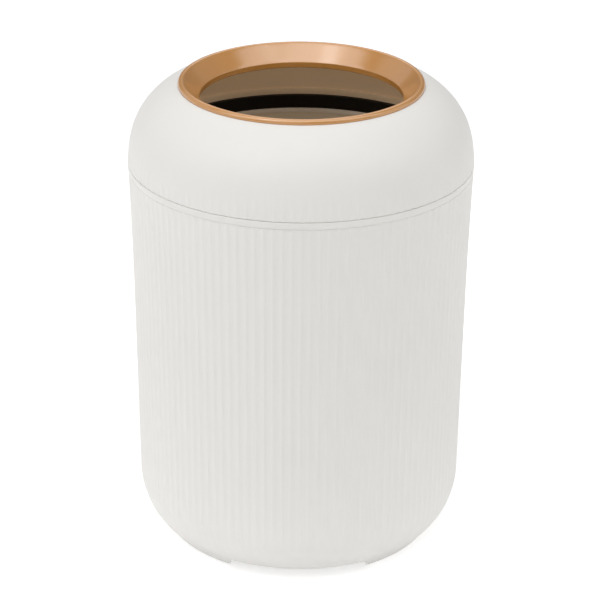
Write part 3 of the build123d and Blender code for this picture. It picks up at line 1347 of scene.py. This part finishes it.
@dataclass
class MouthRing:
    """Metallised ring in the mouth: rounded bead, sloping funnel, throat and snap leg."""

    seat: float
    flange: float
    throat: float = 0.0656
    funnel: float = 0.0114
    slope: float = 46.0
    skirt: float = 0.0038
    bead: float = 0.0024
    bead_rise: float = 0.0011
    wall: float = 0.0018
    leg_inset: float = 0.0025
    leg_wall: float = 0.0016
    leg_overrun: float = 0.0024
    hooks: int = 6
    hook_arc: float = 9.0
    hook_height: float = 0.0018
    hook_reach: float = 0.001
    hook_steps: int = 10
    hook_gap: float = 0.0001
    hook_nose: float = 0.0002
    hook_land: float = 0.0005
    lead: float = 0.001
    neck_lead: float = 0.0012
    skirt_lead: float = 0.0009
    neck_edge: float = 0.0004
    skirt_edge: float = 0.0008
    knee_edge: float = 0.0006
    crook_edge: float = 0.0003
    leg_edge: float = 0.0004
    columns: int = 288

    def rows(self) -> list[Row]:
        """Closed section of the ring: bead, funnel, throat skirt, back and leg.

        Returns:
            The rows.
        """
        slope = math.tan(math.radians(self.slope))
        centre = (self.throat + self.funnel, self.seat + self.bead_rise)
        start = -math.degrees(math.asin(self.bead_rise / self.bead))
        bead = arc(centre, self.bead, start, 90 + self.slope, 18)
        throat, top = self.throat, bead[-1]
        neck = (throat, top[1] - (top[0] - throat) * slope)
        low = neck[1] - self.skirt
        back = throat + self.wall
        lift = self.wall / math.cos(math.radians(self.slope))
        leg = centre[0] - self.leg_inset
        inner_leg = leg - self.leg_wall
        crook = (inner_leg, neck[1] + (inner_leg - throat) * slope - lift)
        knee = (back, neck[1] + self.wall * slope - lift)
        end = self.seat - self.flange - self.leg_overrun
        rows = bead[:-1] + line(top, (throat + self.lead, neck[1] + self.lead * slope), 8)
        rows += corner(top, neck, (throat, low), self.neck_edge, 4)
        rows += line((throat, neck[1] - self.neck_lead), (throat, low + self.skirt_lead), 3)
        rows += corner(neck, (throat, low), (back, low), self.skirt_edge, 5)
        rows += corner((throat, low), (back, low), knee, self.neck_edge)
        rows += corner((back, low), knee, crook, self.knee_edge)
        rows += line((knee[0] + self.lead, knee[1] + self.lead * slope), crook, 3)
        rows += corner(knee, crook, (inner_leg, end), self.crook_edge)
        rows += corner(crook, (inner_leg, end), (leg, end), self.leg_edge)
        rows += corner((inner_leg, end), (leg, end), (leg, self.seat), self.leg_edge)
        return rows + [(leg, self.seat)]

    def body(self, material: bpy.types.Material) -> bpy.types.Object:
        """Ring in one skin."""
        turned = Turned("mouth_ring_trim", evenly_round(self.columns), self.rows())
        return shade(dress(turned.build(), material))

    def _hook_section(self) -> list[Row]:
        """Section of a snap hook, from its root at the leg round its nose.

        Returns:
            The rows.
        """
        leg = self.throat + self.funnel - self.leg_inset
        top = self.seat - self.flange - self.hook_gap
        low = top - self.hook_height
        root, nose = leg - self.leg_wall / 4, leg + self.hook_reach
        return [(root, top), (leg + self.hook_reach * 0.8, top), (nose, top - self.hook_nose),
                (nose, top - self.hook_land), (leg, low), (root, low)]

    def snap_hooks(self, tool: GeometryTool, material: bpy.types.Material) -> bpy.types.Object:
        """Snap hooks on the leg, one modelled and copied round.

        Args:
            tool: The copying tool.
            material: The trim's finish.

        Returns:
            The finished piece.
        """
        section = self._hook_section()
        half = self.hook_arc / 2
        work = bmesh.new()
        rings = [[work.verts.new((r * math.cos(a), r * math.sin(a), z)) for r, z in section]
                 for a in np.radians(np.linspace(-half, half, self.hook_steps))]
        for near, far in zip(rings, rings[1:]):
            for i in range(len(section)):
                j = (i + 1) % len(section)
                work.faces.new((near[i], far[i], far[j], near[j]))
        work.faces.new(rings[0])
        work.faces.new(rings[-1][::-1])
        piece = moulded(work, "mouth_ring_hooks")
        return shade(tool.run(piece, material, count=self.hooks, start=0.0))


@dataclass
class BagRing:
    """Black hoop on the bucket's rim, with a skirt that traps the bag."""

    outer: float
    rim_top: float
    top: float
    low: float
    hoop: float = 0.0037
    skirt: float = 0.001
    edge: float = 0.0005
    low_edge: float = 0.0003
    fold_edge: float = 0.0002
    columns: int = 288

    def rows(self) -> list[Row]:
        """Closed section of the ring: hoop above the rim, skirt outside it.

        Returns:
            The rows.
        """
        inner, fold = self.outer - self.hoop, self.outer - self.skirt
        corners = [(self.outer, self.low, self.low_edge), (self.outer, self.top, self.edge),
                   (inner, self.top, self.edge), (inner, self.rim_top, self.low_edge),
                   (fold, self.rim_top, self.fold_edge), (fold, self.low, self.low_edge)]
        rows: list[Row] = []
        for i, (radius, height, size) in enumerate(corners):
            before, after = corners[i - 1], corners[(i + 1) % len(corners)]
            rows += corner(before[:2], (radius, height), after[:2], size, 4)
        return rows

    def body(self, material: bpy.types.Material) -> bpy.types.Object:
        """Ring in one skin."""
        turned = Turned("bag_ring_hoop", evenly_round(self.columns), self.rows())
        return shade(dress(turned.build(), material))


@dataclass
class Bucket:
    """Lift-out inner bucket with its rolled rim."""

    rim_outer: float
    rim_top: float
    stand: float
    rim_width: float = 0.003
    rim_height: float = 0.003
    overhang: float = 0.0004
    wall: float = 0.0016
    draft: float = 1.2
    rounding: float = 0.040
    recess: float = 0.001
    stand_width: float = 0.008
    rim_edge: float = 0.0008
    rim_low_edge: float = 0.0003
    rim_inner_edge: float = 0.0004
    wall_steps: int = 8
    outside_steps: int = 12
    inside_steps: int = 14
    columns: int = 288

    def _wall(self, inset: float, bottom: float, steps: int) -> list[Row]:
        """Rows from under the rim down to level at the bottom, set in from the outside.

        Args:
            inset: How far in.
            bottom: Height of the level part.
            steps: Rows on the bottom radius.

        Returns:
            The rows.
        """
        draft = math.radians(self.draft)
        top = (self.rim_outer - self.overhang - inset, self.rim_top - self.rim_height)
        radius = self.rounding - inset
        low = bottom + radius * (1 - math.sin(draft))
        end = (top[0] - (top[1] - low) * math.tan(draft), low)
        centre = (end[0] - radius * math.cos(draft), bottom + radius)
        return line(top, end, self.wall_steps) + arc(centre, radius, -self.draft, -90.0, steps)

    def rows(self) -> list[Row]:
        """Section from the underside's middle, out and up the wall, over the rim and down inside.

        Returns:
            The rows.
        """
        under = self.stand + self.recess
        outside = self._wall(0.0, self.stand, self.outside_steps)
        inside = self._wall(self.wall, under + self.wall, self.inside_steps)
        hollow = outside[-1][0] - self.stand_width
        rim_in, rim_low = self.rim_outer - self.rim_width, self.rim_top - self.rim_height
        low_out, high_out = (self.rim_outer, rim_low), (self.rim_outer, self.rim_top)
        low_in, high_in = (rim_in, rim_low), (rim_in, self.rim_top)
        rows: list[Row] = [(0.0, under), (hollow * 0.6, under), (hollow - 0.001, under),
                           (hollow, self.stand)]
        rows += outside[::-1]
        rows += corner(outside[0], low_out, high_out, self.rim_low_edge)
        rows += corner(low_out, high_out, high_in, self.rim_edge, 4)
        rows += corner(high_out, high_in, low_in, self.rim_edge, 4)
        rows += corner(high_in, low_in, inside[0], self.rim_inner_edge)
        ground = inside[-1]
        return rows + inside + [(ground[0] * 0.5, ground[1]), (0.0, ground[1])]

    def _inside_mark(self, order: np.ndarray, radius: np.ndarray, height: np.ndarray) -> np.ndarray:
        """1 where painted shade and glow go: the inner wall, its rounding and the two last rows."""
        return order >= len(self.rows()) - (self.wall_steps + self.inside_steps + 2)

    def _depth_mark(self, order: np.ndarray, radius: np.ndarray, height: np.ndarray) -> np.ndarray:
        """0 at the rim to 1 at the bottom, for the darker painted shade lower down."""
        return np.clip((self.rim_top - height) / (self.rim_top - self.stand), 0.0, 1.0)

    def body(self, material: bpy.types.Material) -> bpy.types.Object:
        """Bucket in one skin.

        Args:
            material: Its finish.

        Returns:
            The finished piece.
        """
        marks = {"inside": self._inside_mark, "depth": self._depth_mark}
        turned = Turned("inner_bucket_shell", evenly_round(self.columns), self.rows(), True, marks)
        return shade(dress(turned.build(), material))


# --------------------------------------------------------------------------------------------
# Studio
# --------------------------------------------------------------------------------------------
@dataclass(frozen=True)
class Lamp:
    """A large soft light: its turn from the front, towards the right, and its rise in degrees."""

    name: str
    turn: float
    rise: float
    watts: float
    size: float = 1.0
    distance: float = 2.0

    def place(self, aim: Vector) -> Vector:
        """Where it stands.

        Args:
            aim: What it points at.

        Returns:
            Its place.
        """
        turn, rise = math.radians(self.turn), math.radians(self.rise)
        level = math.cos(rise)
        away = Vector((math.sin(turn) * level, -math.cos(turn) * level, math.sin(rise)))
        return aim + self.distance * away


@dataclass
class Studio:
    """Pale floor, soft light and the camera."""

    seam_radius: float
    seam_height: float
    elevation: float = 24.12
    distance: float = 14.0
    lens: float = 141.48
    roll: float = 0.42
    aim_drop: float = 0.9
    sensor: float = 36.0
    sight: float = 200.0
    floor_radius: float = 60.0
    floor_depth: float = 0.02
    floor_gap: float = 0.00002
    floor_rings: int = 17
    floor_columns: int = 96
    world: float = 0.165
    aim_height: float = 0.18
    lamps: tuple[Lamp, ...] = (
        Lamp("overhead_softbox", 0.0, 88.0, 1.05, 0.8, 1.0),
        Lamp("key_softbox", -15.0, 62.0, 8.3, 1.6),
        Lamp("front_softbox", -17.0, 22.0, 1.65, 1.4),
        Lamp("left_softbox", -75.0, 22.0, 3.25, 1.6),
        Lamp("upper_left_softbox", -60.0, 50.0, 9.0, 1.6),
        Lamp("right_softbox", 90.0, 22.0, 3.35, 1.6),
        Lamp("upper_right_softbox", 60.0, 50.0, 8.5, 1.6),
        Lamp("rear_left_softbox", -120.0, 22.0, 5.3, 2.2, 2.5),
        Lamp("rear_right_softbox", 120.0, 22.0, 1.8, 2.2, 2.5),
        Lamp("upper_rear_softbox", 180.0, 50.0, 12.8, 2.2, 2.5),
    )

    def camera(self) -> bpy.types.Object:
        """Long-lens camera, above the bin and in front of it.

        Returns:
            The scene's camera.
        """
        tilt = math.radians(self.elevation)
        away = self.distance * self.seam_radius
        aim = Vector((0.0, 0.0, self.seam_height - self.aim_drop * self.seam_radius))
        data = bpy.data.cameras.new("camera")
        data.lens = self.lens
        data.sensor_width = self.sensor
        data.clip_end = self.sight
        camera = bpy.data.objects.new("camera", data)
        camera.location = aim + Vector((0.0, -away * math.cos(tilt), away * math.sin(tilt)))
        look = Euler((math.pi / 2 - tilt, 0.0, 0.0)).to_matrix()
        camera.rotation_euler = (look @ Matrix.Rotation(math.radians(self.roll), 3, "Z")).to_euler()
        bpy.context.scene.collection.objects.link(camera)
        bpy.context.scene.camera = camera
        return camera

    def floor(self, material: bpy.types.Material) -> bpy.types.Object:
        """Round floor of concentric rings, just under the pads, dense near the bin.

        Args:
            material: Its finish.

        Returns:
            The floor.
        """
        radii = [float(r) for r in np.linspace(0.0, 1.0, self.floor_rings) ** 3 * self.floor_radius]
        rows: list[Row] = [(r, -self.floor_depth) for r in radii]
        rows += [(self.floor_radius, -self.floor_gap)] + [(r, -self.floor_gap) for r in radii[::-1]]
        turned = Turned("studio_floor", evenly_round(self.floor_columns), rows, poles=True)
        piece = dress(turned.build(), material)
        return piece

    def light(self) -> None:
        """World light and softboxes."""
        scene = bpy.context.scene
        scene.view_settings.view_transform = "Standard"
        world = bpy.data.worlds.new("white_room")
        scene.world = world
        world.use_nodes = True
        background = world.node_tree.nodes["Background"]
        background.inputs[0].default_value = (1.0, 1.0, 1.0, 1.0)
        background.inputs[1].default_value = self.world
        aim = Vector((0.0, 0.0, self.aim_height))
        for lamp in self.lamps:
            data = bpy.data.lights.new(lamp.name, "AREA")
            data.shape = "DISK"
            data.size = lamp.size
            data.energy = lamp.watts
            light = bpy.data.objects.new(lamp.name, data)
            light.visible_camera = False
            light.location = lamp.place(aim)
            light.rotation_euler = (aim - light.location).to_track_quat("-Z", "Y").to_euler()
            scene.collection.objects.link(light)


# --------------------------------------------------------------------------------------------
# The whole bin
# --------------------------------------------------------------------------------------------
# WHITE and LINER: the third and fourth colours are painted warm shade for inner faces; glow is painted
# light.
WHITE = MouldedPlastic("white_moulding", (0.865, 0.85, 0.82), (0.85, 0.66, 0.46), (0.81, 0.66, 0.50))
LINER = MouldedPlastic("bucket_moulding", (0.87, 0.81, 0.74), (0.72, 0.63, 0.50), (0.70, 0.63, 0.51),
                       glow=(0.016, 0.013, 0.009), roughness=0.42)
SPIGOT_PLAY = 0.0004
COPPER = MetallisedTrim("copper_trim", (0.63, 0.275, 0.042), (0.57, 0.245, 0.036))
BLACK = SatinBlack("black_moulding", (0.0035, 0.003, 0.0025), (0.009, 0.008, 0.007))
RUBBER = SoftRubber("pad_rubber", (0.03, 0.03, 0.03), (0.09, 0.085, 0.08))
FLOOR = PaleFloor("studio_floor", (0.86, 0.86, 0.86), pool=0.525, far=0.5)


def main() -> None:
    """Build the bin from the floor up, then the studio round it."""
    logging.basicConfig(level=logging.INFO, format="%(name)s: %(message)s")
    barrel_box, collar_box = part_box("outer_barrel"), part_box("top_collar")
    ring_box, bucket_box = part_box("bag_ring"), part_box("inner_bucket")
    seam_radius, seam_height = collar_box[1].x, barrel_box[1].z
    fluting = Fluting()
    flutes, copies = flute_tool(), copies_tool()
    white, copper = WHITE.material(), COPPER.material()

    barrel = Barrel(fluting, seam_radius, seam_height, barrel_box[0].z)
    enter(barrel.body(flutes, white), Body.BARREL, Slot.WHITE, "outer_barrel")
    enter(barrel.pads(copies, RUBBER.material()), Body.BARREL, Slot.RUBBER,
          "foot_pad_rear", "foot_pad_left", "foot_pad_right")

    bucket = Bucket(bucket_box[1].x, bucket_box[1].z, bucket_box[0].z)
    enter(bucket.body(LINER.material()), Body.BUCKET, Slot.BUCKET, "inner_bucket")

    bag_ring = BagRing(ring_box[1].x, bucket_box[1].z, ring_box[1].z, ring_box[0].z)
    enter(bag_ring.body(BLACK.material()), Body.BAG_RING, Slot.BLACK, "bag_ring")

    collar = Collar(fluting, seam_radius, seam_height, spigot_inner=ring_box[1].x + SPIGOT_PLAY)
    enter(collar.body(flutes, white), Body.COLLAR, Slot.WHITE, "top_collar")
    trim = MouthRing(collar.seat, collar.flange)
    enter(trim.body(copper), Body.COLLAR, Slot.COPPER, "mouth_ring")
    enter(trim.snap_hooks(copies, copper), Body.COLLAR, Slot.COPPER)

    studio = Studio(seam_radius, seam_height)
    studio.floor(FLOOR.material())
    studio.light()
    studio.camera()


if __name__ == "__main__":
    main()
